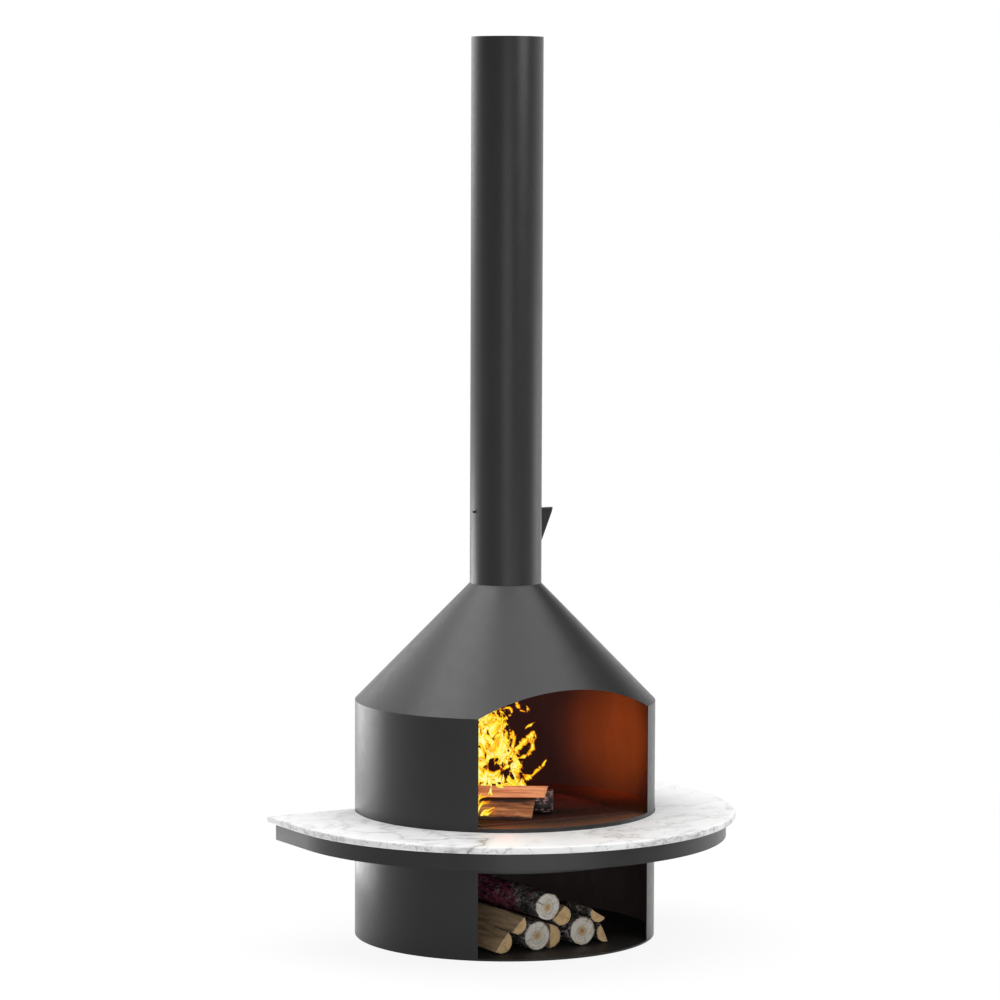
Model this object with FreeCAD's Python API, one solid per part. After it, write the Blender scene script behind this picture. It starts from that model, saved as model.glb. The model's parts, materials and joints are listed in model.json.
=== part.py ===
import FreeCAD, Part
import math
import os

# Round open fireplace with log store, marble shelf, hood and flue. Sizes in millimetres.
# The origin is on the floor on the drum's axis, +Z is up and the front faces -Y.

os.makedirs("parts", exist_ok=True)
V = FreeCAD.Vector
UP = V(0, 0, 1)
ORIGIN = V(0, 0, 0)

# Drum, hood and flue
BODY_R = 420.0
SHEET = 3.0
HOOD_BASE_Z = 660.0
HOOD_TOP_Z = 987.0
FLUE_R = 100.0
FLUE_WALL = 2.0
FLUE_TOP_Z = 2500.0
SOCKET_STEP = 0.8
SOCKET_DEPTH = 60.0
COLLAR_WALL = 2.0
COLLAR_GAP = 0.3
COLLAR_BELOW = 25.0
COLLAR_ABOVE = 55.0
FLUE_SEAM = 0.3

# Gap between pieces that are fixed to each other
FIT = 0.2

# Mouths of the firebox and of the log store
MOUTH_HALF_ANGLE = 40.0
LIP_H = 11.0
ARCH_RISE = 66.0
STORE_MOUTH_TOP = 240.0

# Floor of the log store
BASE_T = 5.0

# Marble shelf and the steel frame under it
SHELF_TOP_Z = 352.0
MARBLE_T = 20.0
SHELF_REACH = 226.0
MARBLE_BACK = 195.0
MARBLE_EDGE_R = 7.0
MARBLE_JOINT = 2.0
BAND_INSET = 26.0
BAND_BACK_INSET = 1.0
BAND_H = 48.0
BAND_T = 3.0
BAND_GAP = 0.5
TRAY_T = 3.0
PAD_R = 20.0
PAD_T = 2.0
PAD_ANGLES = (-75, -45, -15, 15, 45, 75)
PAD_ARM_Y = 110.0
RIB_H = 36.0
RIB_T = 5.0
RIB_ANGLES = (-90, -60, -30, 0, 30, 60, 90)

# Hearth
HEARTH_T = 6.0
HEARTH_DROP = 5.0
RING_T = 4.0
RING_H = 40.0
RING_LEG = 24.0
BOLT_R = 3.0
BOLT_HEAD_R = 6.0
BOLT_LENGTH = 16.0
BOLT_PLAY = 0.2
BOLT_THREAD_GAP = 0.05
BOLT_ANGLES = (0, 60, 120, 180, 240, 300)

# Grate, and the ash pan in its well
LIFT_GAP = 0.3
GRATE_CORNER_ANGLE = 40.3
GRATE_D = 380.0
RING_ROOM = 3.0
GRATE_H = 10.0
GRATE_RIM = 14.0
GRATE_BAR = 6.0
GRATE_SLOT = 6.0
GRATE_ROWS = 3
GRATE_PLAY = 2.0
LEDGE = 12.0
WELL_FLANGE = 10.0
WELL_T = 2.0
WELL_DEPTH = 58.0
PAN_PLAY = 5.0
PAN_T = 1.5
PAN_H = 46.0
STRAP_W = 20.0
STRAP_T = 3.0
STRAP_LEG = 25.0

# Damper
DAMPER_Z = 1189.0
SPINDLE_R = 4.0
SPINDLE_RUN = 0.05
SPINDLE_PROUD = 6.0
SPINDLE_REACH = 50.0
SPINDLE_EDGE = 0.8
BUSH_R = 6.0
BUSH_PROUD = 0.6
BUSH_FLANGE_R = 10.0
BUSH_FLANGE_T = 2.0
DISC_GAP = 5.0
DISC_T = 2.5
SEAT_GAP = 0.1
SCREW_R = 2.0
SCREW_PLAY = 0.1
SCREW_HEAD_R = 3.6
SCREW_HEAD_H = 2.5
SCREW_INSET = 48.0
NUT_R = 4.0
NUT_H = 3.2
NUT_SIDES = 6
NUT_RUN = 0.05
HANDLE_T = 3.0
HANDLE_GAP = 7.0
HANDLE_NOSE = 4.0
HANDLE_DROP = 105.0
HANDLE_FOOT = 2.0

# Logs
REST_GAP = 0.3
REST_STEP = 0.02
HALF_TURN = 180.0
DROP_HEIGHT = 400.0

# Sizes that follow from the ones above
BODY_IN = BODY_R - SHEET
FLUE_IN = FLUE_R - FLUE_WALL
DISC_R = FLUE_IN - DISC_GAP
SCREW_X = DISC_R - SCREW_INSET
SPINDLE_TIP_X = FLUE_R + SPINDLE_REACH
MARBLE_R = BODY_R + SHELF_REACH
MARBLE_LOW_Z = SHELF_TOP_Z - MARBLE_T
LIP_Z = SHELF_TOP_Z + LIP_H
HEARTH_Z = LIP_Z - HEARTH_DROP
HEARTH_LOW_Z = HEARTH_Z - HEARTH_T
MOUTH_X = BODY_R * math.sin(math.radians(MOUTH_HALF_ANGLE))
BAND_R = MARBLE_R - BAND_INSET
BAND_BACK = MARBLE_BACK - BAND_BACK_INSET
BAND_TOP_Z = MARBLE_LOW_Z - BAND_GAP
BAND_LOW_Z = BAND_TOP_Z - BAND_H
TRAY_Z = MARBLE_LOW_Z - PAD_T
TRAY_R = BAND_R - BAND_T - FIT
RING_R = BODY_IN - FIT
WELL_CORNER_R = RING_R - RING_LEG - RING_ROOM
WELL_EDGE = GRATE_PLAY + WELL_FLANGE
GRATE_W = 2 * (WELL_CORNER_R * math.sin(math.radians(GRATE_CORNER_ANGLE)) - WELL_EDGE)
GRATE_FRONT_Y = WELL_EDGE - WELL_CORNER_R * math.cos(math.radians(GRATE_CORNER_ANGLE))
GRATE_MID_Y = GRATE_FRONT_Y + GRATE_D / 2
CUT_W = GRATE_W + 2 * GRATE_PLAY
CUT_D = GRATE_D + 2 * GRATE_PLAY
WELL_Z = HEARTH_LOW_Z - FIT
WELL_W = GRATE_W - 2 * LEDGE
WELL_D = GRATE_D - 2 * LEDGE
GRATE_LOW_Z = WELL_Z + LIFT_GAP
GRATE_Z = GRATE_LOW_Z + GRATE_H
PAN_LOW_Z = WELL_Z - WELL_DEPTH + WELL_T + LIFT_GAP
PAN_W = WELL_W - 2 * PAN_PLAY
PAN_D = WELL_D - 2 * PAN_PLAY


def save(node, shape):
    shape.exportStep("parts/" + node + ".step")


def tube(outer, inner, low, high):
    wall = Part.makeCylinder(outer, high - low, V(0, 0, low))
    return wall.cut(Part.makeCylinder(inner, high - low, V(0, 0, low)))


def block(x_mid, y_mid, width, depth, low, high):
    return Part.makeBox(width, depth, high - low, V(x_mid - width / 2, y_mid - depth / 2, low))


def around(radius, angle):
    # A point around the drum, at an angle from the front.
    turn = math.radians(angle)
    return V(radius * math.sin(turn), -radius * math.cos(turn), 0)


def half_round(radius, back, low, high):
    # A plate with a half-round front, straight sides and a straight back edge.
    left = Part.makeLine(V(-radius, back, low), V(-radius, 0, low))
    front = Part.Arc(V(-radius, 0, low), V(0, -radius, low), V(radius, 0, low)).toShape()
    right = Part.makeLine(V(radius, 0, low), V(radius, back, low))
    rear = Part.makeLine(V(radius, back, low), V(-radius, back, low))
    outline = Part.Wire([left, front, right, rear])
    return Part.Face(outline).extrude(V(0, 0, high - low))


def front_cutter(low, high, rise):
    # A block that cuts the front of the drum, with an arched top.
    left = Part.makeLine(V(-MOUTH_X, 0, low), V(-MOUTH_X, 0, high))
    right = Part.makeLine(V(MOUTH_X, 0, high), V(MOUTH_X, 0, low))
    foot = Part.makeLine(V(MOUTH_X, 0, low), V(-MOUTH_X, 0, low))
    if rise > 0:
        top = Part.Arc(V(-MOUTH_X, 0, high), V(0, 0, high + rise), V(MOUTH_X, 0, high)).toShape()
    else:
        top = Part.makeLine(V(-MOUTH_X, 0, high), V(MOUTH_X, 0, high))
    return Part.Face(Part.Wire([left, top, right, foot])).extrude(V(0, -2 * BODY_R, 0))


# Lower drum and its floor
store_mouth = front_cutter(BASE_T, STORE_MOUTH_TOP, 0)
base_plate = Part.makeCylinder(RING_R, BASE_T)
base_drum = tube(BODY_R, BODY_IN, 0, MARBLE_LOW_Z).cut(store_mouth)
save("base_plate", base_plate)
save("base_drum", base_drum)

# Firebox and hood, cut by one arched mouth
fire_mouth = front_cutter(LIP_Z, HOOD_BASE_Z, ARCH_RISE)
firebox_shell = tube(BODY_R, BODY_IN, MARBLE_LOW_Z, HOOD_BASE_Z).cut(fire_mouth)
hood_run = BODY_R - FLUE_R
hood_rise = HOOD_TOP_Z - HOOD_BASE_Z
hood_slant = math.hypot(hood_run, hood_rise)
hood_wall = SHEET * hood_slant / hood_rise
collar_r = FLUE_IN - COLLAR_GAP
hood_bore = collar_r + FIT
bore_z = HOOD_TOP_Z - (hood_bore + hood_wall - FLUE_R) * hood_rise / hood_run
hood_profile = Part.makePolygon([
    V(BODY_R, 0, HOOD_BASE_Z),
    V(FLUE_R, 0, HOOD_TOP_Z),
    V(hood_bore, 0, HOOD_TOP_Z),
    V(hood_bore, 0, bore_z),
    V(BODY_R - hood_wall, 0, HOOD_BASE_Z),
    V(BODY_R, 0, HOOD_BASE_Z),
])
hood_cone = Part.Face(hood_profile).revolve(ORIGIN, UP, 2 * HALF_TURN).cut(fire_mouth)
save("firebox_shell", firebox_shell)
save("hood_cone", hood_cone)

# Flue: collar, tube with a socket at its top, and bushes for the damper
flue_collar = tube(collar_r, collar_r - COLLAR_WALL, HOOD_TOP_Z - COLLAR_BELOW, HOOD_TOP_Z + COLLAR_ABOVE)
flue_tube = tube(FLUE_R, FLUE_IN, HOOD_TOP_Z + FLUE_SEAM, FLUE_TOP_Z)
socket = Part.makeCylinder(FLUE_IN + SOCKET_STEP, SOCKET_DEPTH, V(0, 0, FLUE_TOP_Z - SOCKET_DEPTH))
bush_hole = Part.makeCylinder(BUSH_R + FIT, 2 * BODY_R, V(-BODY_R, 0, DAMPER_Z), V(1, 0, 0))
flue_tube = flue_tube.cut(socket).cut(bush_hole)
save("flue_collar", flue_collar)
save("flue_tube", flue_tube)
flange_x = math.sqrt(FLUE_IN ** 2 - BUSH_FLANGE_R ** 2) - FIT
bushes = []
for side in (-1, 1):
    along = V(side, 0, 0)
    inner_end = V(side * (flange_x - BUSH_FLANGE_T), 0, DAMPER_Z)
    barrel = Part.makeCylinder(BUSH_R, FLUE_R + BUSH_PROUD - flange_x + BUSH_FLANGE_T, inner_end, along)
    bush = barrel.fuse(Part.makeCylinder(BUSH_FLANGE_R, BUSH_FLANGE_T, inner_end, along))
    bore = Part.makeCylinder(SPINDLE_R + SPINDLE_RUN, BODY_R, V(0, 0, DAMPER_Z), along)
    bushes.append(bush.cut(bore).removeSplitter())
save("damper_bushes", Part.makeCompound(bushes))

# Damper: spindle, disc, screws with nuts, and the hanging handle
spindle_start = -(FLUE_R + SPINDLE_PROUD)
spindle_length = SPINDLE_TIP_X - spindle_start
spindle = Part.makeCylinder(SPINDLE_R, spindle_length, V(spindle_start, 0, DAMPER_Z), V(1, 0, 0))
spindle_rims = [e for e in spindle.Edges if isinstance(e.Curve, Part.Circle)]
spindle = spindle.makeFillet(SPINDLE_EDGE, spindle_rims)
disc_back = SPINDLE_R + SEAT_GAP
disc = Part.makeCylinder(DISC_R, DISC_T, V(0, -disc_back, DAMPER_Z), V(0, -1, 0))
screws = []
nuts = []
for side in (-1, 1):
    head = V(side * SCREW_X, -(disc_back + DISC_T + SEAT_GAP), DAMPER_Z)
    shank_length = disc_back + DISC_T + SEAT_GAP + disc_back + NUT_H
    shank = Part.makeCylinder(SCREW_R, shank_length, head, V(0, 1, 0))
    screw = shank.fuse(Part.makeCylinder(SCREW_HEAD_R, SCREW_HEAD_H, head, V(0, -1, 0)))
    screws.append(screw.removeSplitter())
    hole = Part.makeCylinder(SCREW_R + SCREW_PLAY, shank_length, head, V(0, 1, 0))
    spindle = spindle.cut(hole)
    disc = disc.cut(hole)
    corners = []
    for corner in range(NUT_SIDES + 1):
        turn = 2 * math.pi * corner / NUT_SIDES
        corners.append(V(head.x + NUT_R * math.cos(turn), disc_back, DAMPER_Z + NUT_R * math.sin(turn)))
    nut = Part.Face(Part.makePolygon(corners)).extrude(V(0, NUT_H, 0))
    nuts.append(nut.cut(Part.makeCylinder(SCREW_R + NUT_RUN, shank_length, head, V(0, 1, 0))))
handle_top = DAMPER_Z - math.sqrt(SPINDLE_R ** 2 - (HANDLE_T / 2) ** 2)
handle_x = FLUE_R + HANDLE_GAP
handle_tip = SPINDLE_TIP_X - SPINDLE_EDGE
handle_foot = DAMPER_Z - HANDLE_DROP
handle_outline = Part.makePolygon([
    V(handle_x, -HANDLE_T / 2, handle_top),
    V(handle_tip, -HANDLE_T / 2, handle_top),
    V(handle_tip, -HANDLE_T / 2, handle_top - HANDLE_NOSE),
    V(handle_x + HANDLE_FOOT, -HANDLE_T / 2, handle_foot),
    V(handle_x, -HANDLE_T / 2, handle_foot),
    V(handle_x, -HANDLE_T / 2, handle_top),
])
spindle_seat = Part.makeCylinder(SPINDLE_R + SEAT_GAP, SPINDLE_TIP_X, V(0, 0, DAMPER_Z), V(1, 0, 0))
handle = Part.Face(handle_outline).extrude(V(0, HANDLE_T, 0)).cut(spindle_seat)
save("damper_spindle", spindle)
save("damper_disc", disc)
save("damper_screws", Part.makeCompound(screws))
save("damper_nuts", Part.makeCompound(nuts))
save("damper_handle", handle)

# Steel frame of the shelf
drum_room = Part.makeCylinder(BODY_R + FIT, SHELF_TOP_Z)
band_hollow = half_round(BAND_R - BAND_T, 2 * BAND_BACK, BAND_LOW_Z, BAND_TOP_Z)
shelf_band = half_round(BAND_R, BAND_BACK, BAND_LOW_Z, BAND_TOP_Z).cut(band_hollow)
save("shelf_band", shelf_band)
for side, node in ((-1, "shelf_back_bar_left"), (1, "shelf_back_bar_right")):
    bar_x = side * TRAY_R / 2
    bar_y = BAND_BACK - BAND_T / 2
    bar = block(bar_x, bar_y, TRAY_R, BAND_T, BAND_LOW_Z, BAND_TOP_Z).cut(drum_room)
    save(node, bar)
tray = half_round(TRAY_R, BAND_BACK - BAND_T - FIT, TRAY_Z - TRAY_T, TRAY_Z).cut(drum_room)
save("shelf_tray", tray)
rib_top = TRAY_Z - TRAY_T - FIT
ribs = []
for angle in RIB_ANGLES:
    rib = block(0, -TRAY_R / 2, RIB_T, TRAY_R, rib_top - RIB_H, rib_top)
    rib = rib.common(Part.makeCylinder(TRAY_R, SHELF_TOP_Z)).cut(drum_room)
    rib.rotate(ORIGIN, UP, angle)
    ribs.append(rib)
save("shelf_ribs", Part.makeCompound(ribs))

# Marble slab on its pads
pad_ring = (BODY_R + BAND_R) / 2
pad_places = [around(pad_ring, angle) for angle in PAD_ANGLES]
pad_places += [V(-pad_ring, PAD_ARM_Y, 0), V(pad_ring, PAD_ARM_Y, 0)]
pads = [Part.makeCylinder(PAD_R, PAD_T, place + V(0, 0, TRAY_Z)) for place in pad_places]
save("marble_pads", Part.makeCompound(pads))
slab = half_round(MARBLE_R, MARBLE_BACK, MARBLE_LOW_Z, SHELF_TOP_Z)
slab_rims = [e for e in slab.Edges if e.BoundBox.ZLength < MARBLE_T / 2]
slab = slab.makeFillet(MARBLE_EDGE_R, slab_rims)
slab = slab.cut(Part.makeCylinder(BODY_R + MARBLE_JOINT, 2 * SHELF_TOP_Z))
save("marble_shelf", slab)

# Angle ring in the drum, hearth plate and its countersunk bolts
ring_top = HEARTH_LOW_Z - FIT
joining_ring = tube(RING_R, RING_R - RING_T, ring_top - RING_H, ring_top)
ring_leg = tube(RING_R, RING_R - RING_LEG, ring_top - RING_T, ring_top)
joining_ring = joining_ring.fuse(ring_leg).removeSplitter()
hearth_plate = Part.makeCylinder(RING_R, HEARTH_T, V(0, 0, HEARTH_LOW_Z))
hearth_plate = hearth_plate.cut(block(0, GRATE_MID_Y, CUT_W, CUT_D, HEARTH_LOW_Z, HEARTH_Z))
bolt_ring = RING_R - (RING_T + RING_LEG) / 2
bolts = []
for angle in BOLT_ANGLES:
    top = around(bolt_ring, angle) + V(0, 0, HEARTH_Z)
    sink = BOLT_HEAD_R - BOLT_R
    shank = Part.makeCylinder(BOLT_R, BOLT_LENGTH, top, -UP)
    bolts.append(shank.fuse(Part.makeCone(BOLT_HEAD_R, BOLT_R, sink, top, -UP)).removeSplitter())
    hole = Part.makeCylinder(BOLT_R + BOLT_PLAY, HEARTH_T, top, -UP)
    head_room = Part.makeCone(BOLT_HEAD_R + BOLT_PLAY, BOLT_R + BOLT_PLAY, sink, top, -UP)
    hearth_plate = hearth_plate.cut(hole).cut(head_room)
    thread = Part.makeCylinder(BOLT_R + BOLT_THREAD_GAP, BOLT_LENGTH, top, -UP)
    joining_ring = joining_ring.cut(thread)
save("joining_ring", joining_ring)
save("hearth_plate", hearth_plate)
save("hearth_bolts", Part.makeCompound(bolts))

# Ash well: a folded box whose flange is also the grate's ledge
well_low = WELL_Z - WELL_DEPTH
well = block(0, GRATE_MID_Y, WELL_W + 2 * WELL_T, WELL_D + 2 * WELL_T, well_low, WELL_Z)
flange_w = CUT_W + 2 * WELL_FLANGE
flange_d = CUT_D + 2 * WELL_FLANGE
well = well.fuse(block(0, GRATE_MID_Y, flange_w, flange_d, WELL_Z - WELL_T, WELL_Z))
well = well.cut(block(0, GRATE_MID_Y, WELL_W, WELL_D, well_low + WELL_T, WELL_Z)).removeSplitter()
save("ash_well", well)

# Ash pan with a lifting strap across it
pan = block(0, GRATE_MID_Y, PAN_W, PAN_D, PAN_LOW_Z, PAN_LOW_Z + PAN_H)
pan_inside_d = PAN_D - 2 * PAN_T
pan_top = PAN_LOW_Z + PAN_H
pan = pan.cut(block(0, GRATE_MID_Y, PAN_W - 2 * PAN_T, pan_inside_d, PAN_LOW_Z + PAN_T, pan_top))
strap_d = pan_inside_d - 2 * FIT
strap = block(0, GRATE_MID_Y, STRAP_W, strap_d, pan_top - STRAP_LEG, pan_top)
hand_room_d = strap_d - 2 * STRAP_T
strap = strap.cut(block(0, GRATE_MID_Y, STRAP_W, hand_room_d, pan_top - STRAP_LEG, pan_top - STRAP_T))
save("ash_pan", pan)
save("ash_pan_handle", strap)

# Cast grate: a rim with rows of slots that run front to back
grate = block(0, GRATE_MID_Y, GRATE_W, GRATE_D, GRATE_LOW_Z, GRATE_Z)
slot_pitch = GRATE_SLOT + GRATE_BAR
slot_count = int((GRATE_W - 2 * GRATE_RIM + GRATE_BAR) / slot_pitch)
row_pitch = (GRATE_D - GRATE_RIM) / GRATE_ROWS
slots = []
for column in range(slot_count):
    slot_x = (column - (slot_count - 1) / 2) * slot_pitch
    for row in range(GRATE_ROWS):
        slot_y = GRATE_MID_Y + (row - (GRATE_ROWS - 1) / 2) * row_pitch
        slots.append(block(slot_x, slot_y, GRATE_SLOT, row_pitch - GRATE_RIM, GRATE_LOW_Z, GRATE_Z))
grate = grate.cut(Part.makeCompound(slots))
save("fire_grate", grate)


def split_section(radius, spread, middle):
    # Cross-section of a split log: a slice with its point at the origin and bark on the arc.
    first = math.radians(middle - spread / 2)
    last = math.radians(middle + spread / 2)
    centre = math.radians(middle)
    ends = [V(radius * math.cos(a), 0, radius * math.sin(a)) for a in (first, centre, last)]
    bark = Part.Arc(ends[0], ends[1], ends[2]).toShape()
    if spread < HALF_TURN:
        sides = [Part.makeLine(ends[2], ORIGIN), Part.makeLine(ORIGIN, ends[0])]
    else:
        sides = [Part.makeLine(ends[2], ends[0])]
    return Part.Face(Part.Wire([bark] + sides))


def round_section(radius):
    return Part.Face(Part.Wire(Part.makeCircle(radius, ORIGIN, V(0, 1, 0))))


def set_down(shape, supports):
    # Lower a log until it rests on what lies under it.
    under = Part.makeCompound(supports)
    shape.translate(V(0, 0, DROP_HEIGHT))
    room = shape.distToShape(under)[0] - REST_GAP
    while room > REST_STEP:
        shape.translate(V(0, 0, -room))
        room = shape.distToShape(under)[0] - REST_GAP
    return shape


def laid_log(section, length, place, heading, supports):
    # A log whose front end is at the place given, and which runs back along its heading.
    log = section.extrude(V(0, length, 0))
    log.rotate(ORIGIN, UP, heading)
    log.translate(place)
    return set_down(log, supports)


# Logs in the store, laid from the floor up: node, section, length, place across, setback from the front
STORE_LOGS = (
    ("store_log_round_left", round_section(42.0), 480.0, -73.0, 114.0),
    ("store_log_round_right", round_section(42.0), 490.0, 72.0, 116.0),
    ("store_log_split_left", split_section(35.0, 180.0, 323.0), 470.0, -181.0, 120.0),
    ("store_log_split_middle", split_section(36.0, 180.0, 0.0), 460.0, -30.3, 120.0),
    ("store_log_split_right", split_section(28.0, 180.0, 205.0), 470.0, 149.0, 124.0),
    ("store_log_upper_left", split_section(29.0, 180.0, 315.0), 480.0, -134.0, 114.0),
    ("store_log_upper_middle", split_section(30.0, 240.0, 315.0), 470.0, 10.0, 120.0),
    ("store_log_upper_right", split_section(28.0, 180.0, 236.0), 475.0, 127.0, 122.0),
    ("store_log_round_top", round_section(41.0), 500.0, -40.2, 115.0),
)
pile = [base_plate]
for node, section, length, log_x, setback in STORE_LOGS:
    log = laid_log(section, length, V(log_x, setback - BODY_R, 0), 0, pile)
    pile.append(log)
    save(node, log)

# Logs that burn on the grate: node, section, length, place across, setback from its front, heading
FIRE_LOGS = (
    ("fire_log_front", split_section(56.0, 110.0, 125.0), 270.0, -37.0, 54.0, 56.0),
    ("fire_log_back", round_section(36.0), 290.0, 33.5, 76.5, 56.0),
    ("fire_log_top", split_section(34.0, 90.0, 45.0), 245.0, -19.5, 15.5, 58.0),
)
fire_pile = [block(0, GRATE_MID_Y, GRATE_W, GRATE_D, GRATE_LOW_Z, GRATE_Z)]
for node, section, length, log_x, setback, heading in FIRE_LOGS:
    place = V(log_x, GRATE_FRONT_Y + setback, HEARTH_Z)
    log = laid_log(section, length, place, heading, fire_pile)
    fire_pile.append(log)
    save(node, log)
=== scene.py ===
"""Looks of a round open fireplace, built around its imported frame. Lengths are in metres."""

import json
import math

import bpy
import numpy as np
from mathutils import Matrix, Vector, noise


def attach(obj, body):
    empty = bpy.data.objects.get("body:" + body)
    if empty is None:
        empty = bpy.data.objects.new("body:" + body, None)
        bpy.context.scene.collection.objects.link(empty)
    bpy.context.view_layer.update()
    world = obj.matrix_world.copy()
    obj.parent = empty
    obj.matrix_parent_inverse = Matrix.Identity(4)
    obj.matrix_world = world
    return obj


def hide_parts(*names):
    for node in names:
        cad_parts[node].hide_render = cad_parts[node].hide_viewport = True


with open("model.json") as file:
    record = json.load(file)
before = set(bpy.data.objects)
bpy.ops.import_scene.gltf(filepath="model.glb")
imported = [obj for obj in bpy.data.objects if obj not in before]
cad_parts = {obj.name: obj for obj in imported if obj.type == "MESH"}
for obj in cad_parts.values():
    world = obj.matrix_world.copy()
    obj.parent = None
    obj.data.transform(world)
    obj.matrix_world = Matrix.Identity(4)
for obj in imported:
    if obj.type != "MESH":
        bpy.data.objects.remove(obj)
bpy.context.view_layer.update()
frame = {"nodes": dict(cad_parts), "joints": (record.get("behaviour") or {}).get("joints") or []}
cad = frame["nodes"]
scene = bpy.context.scene
scene.view_settings.view_transform = "Standard"

MM = 0.001
UP = Vector((0, 0, 1))

# Camera, from the photograph: its distance, eye height, turn round the object, lens and slight roll
CAMERA_DISTANCE = 10.979
EYE_HEIGHT = 2.160
OBJECT_TURN = math.radians(30.2)
FOCAL_PIXELS = 3934.0
IMAGE_PIXELS = 1000.0
AIM_RIGHT_PIXELS = -5.85
AIM_DOWN_PIXELS = 337.6
AIM_RIGHT = AIM_RIGHT_PIXELS / FOCAL_PIXELS
AIM_DOWN = AIM_DOWN_PIXELS / FOCAL_PIXELS
CAMERA_ROLL = 0.0036
SENSOR = 36.0
CLIP_END = 200.0
# A camera that looks down needs a longer lens to draw the object as high
TILT_POWER = 1.5
VIEW_RIGHT = Vector((math.cos(OBJECT_TURN), -math.sin(OBJECT_TURN), 0))
VIEW_BACK = Vector((-math.sin(OBJECT_TURN), -math.cos(OBJECT_TURN), 0))


def add_camera():
    data = bpy.data.cameras.new("camera")
    camera = bpy.data.objects.new("camera", data)
    scene.collection.objects.link(camera)
    aim = (-VIEW_BACK + VIEW_RIGHT * AIM_RIGHT - UP * AIM_DOWN).normalized()
    right = VIEW_RIGHT + UP * CAMERA_ROLL
    right = (right - aim * right.dot(aim)).normalized()
    upward = right.cross(aim)
    turn = Matrix((right, upward, -aim)).transposed()
    place = VIEW_BACK * CAMERA_DISTANCE + UP * EYE_HEIGHT
    camera.matrix_world = Matrix.Translation(place) @ turn.to_4x4()
    data.sensor_width = SENSOR
    tilt = math.atan(AIM_DOWN)
    data.lens = FOCAL_PIXELS / math.cos(tilt) ** TILT_POWER * SENSOR / IMAGE_PIXELS
    data.clip_end = CLIP_END
    scene.camera = camera


# Node helpers
OBJECT_SHIFT = 9.0


def wire(tree, socket, value):
    if isinstance(value, bpy.types.NodeSocket):
        tree.links.new(value, socket)
    elif value is not None:
        socket.default_value = value


def new_material(name):
    material = bpy.data.materials.new(name)
    material.use_nodes = True
    return material, material.node_tree, material.node_tree.nodes["Principled BSDF"]


def add_math(tree, operation, a, b=None, c=None, clamp=False):
    node = tree.nodes.new("ShaderNodeMath")
    node.operation = operation
    node.use_clamp = clamp
    for socket, value in zip(node.inputs, (a, b, c)):
        wire(tree, socket, value)
    return node.outputs[0]


def add_vector_math(tree, operation, a, b=None):
    node = tree.nodes.new("ShaderNodeVectorMath")
    node.operation = operation
    wire(tree, node.inputs[0], a)
    wire(tree, node.inputs[1], b)
    return node.outputs["Value"] if operation in ("DOT_PRODUCT", "LENGTH") else node.outputs[0]


def coordinates(tree, stretch=(1, 1, 1)):
    """Object coordinates, stretched along the axes whose scale is small."""
    node = tree.nodes.new("ShaderNodeTexCoord")
    return add_vector_math(tree, "MULTIPLY", node.outputs["Object"], stretch)


def own_coordinates(tree, stretch=(1, 1, 1)):
    """Object coordinates, moved for each object, so that no two show the same grain."""
    info = tree.nodes.new("ShaderNodeObjectInfo")
    shift = add_math(tree, "MULTIPLY", info.outputs["Random"], OBJECT_SHIFT)
    moved = add_vector_math(tree, "ADD", tree.nodes.new("ShaderNodeTexCoord").outputs["Object"], shift)
    return add_vector_math(tree, "MULTIPLY", moved, stretch)


def add_noise(tree, vector, scale, detail=4.0, roughness=0.55, distortion=0.0):
    node = tree.nodes.new("ShaderNodeTexNoise")
    wire(tree, node.inputs["Vector"], vector)
    node.inputs["Scale"].default_value = scale
    node.inputs["Detail"].default_value = detail
    node.inputs["Roughness"].default_value = roughness
    node.inputs["Distortion"].default_value = distortion
    return node.outputs["Fac"]


def add_ramp(tree, value, stops):
    """A colour ramp; a stop is a position and a grey level or a colour."""
    node = tree.nodes.new("ShaderNodeValToRGB")
    wire(tree, node.inputs["Fac"], value)
    elements = node.color_ramp.elements
    while len(elements) < len(stops):
        elements.new(0.5)
    for element, (position, level) in zip(elements, stops):
        element.position = position
        colour = level if isinstance(level, tuple) else (level, level, level)
        element.color = (*colour, 1)
    return node.outputs["Color"]


def add_mix(tree, factor, a, b, mode="MIX"):
    node = tree.nodes.new("ShaderNodeMix")
    node.data_type = "RGBA"
    node.blend_type = mode
    wire(tree, node.inputs["Factor"], factor)
    for name, value in (("A", a), ("B", b)):
        socket = [s for s in node.inputs if s.name == name and s.type == "RGBA"][0]
        wire(tree, socket, (*value, 1) if isinstance(value, tuple) else value)
    return [s for s in node.outputs if s.type == "RGBA"][0]


def add_bump(tree, shader, height, distance, strength=1.0):
    node = tree.nodes.new("ShaderNodeBump")
    node.inputs["Strength"].default_value = strength
    node.inputs["Distance"].default_value = distance
    wire(tree, node.inputs["Height"], height)
    wire(tree, shader.inputs["Normal"], node.outputs["Normal"])


def add_attribute(tree, name):
    node = tree.nodes.new("ShaderNodeAttribute")
    node.attribute_name = name
    return node.outputs["Fac"]


# Materials
# A wall that faces the axis by more than this is a drum's inside
INSIDE_FACING = -0.25
SOOT_ROUGHNESS = (0.85, 0.85, 0.85)
PEEL_DEPTH = 0.12 * MM
POLISH_DEPTH = 0.03 * MM
BARK_BUMP = 2.2 * MM
RING_BUMP = 0.35 * MM
FIBRE_BUMP = 1.2 * MM
# Painted shade in the cracks of the sawn ends: a near-black tone where the narrow cracks lie in shade
CRACK_SHADE_TONE = (0.035, 0.024, 0.018)
CHAR_TONE = (0.012, 0.009, 0.008)
# Warm tone of the painted firelight on scorched and burning split faces
PAINTED_FIRELIGHT_TONE = (1.0, 0.62, 0.42)
SAPWOOD_SPAN = 50 * MM
RING_PERIOD = 5.2 * MM
RING_WOBBLE = 18 * MM
STAIN_WOBBLE = 40 * MM


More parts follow.
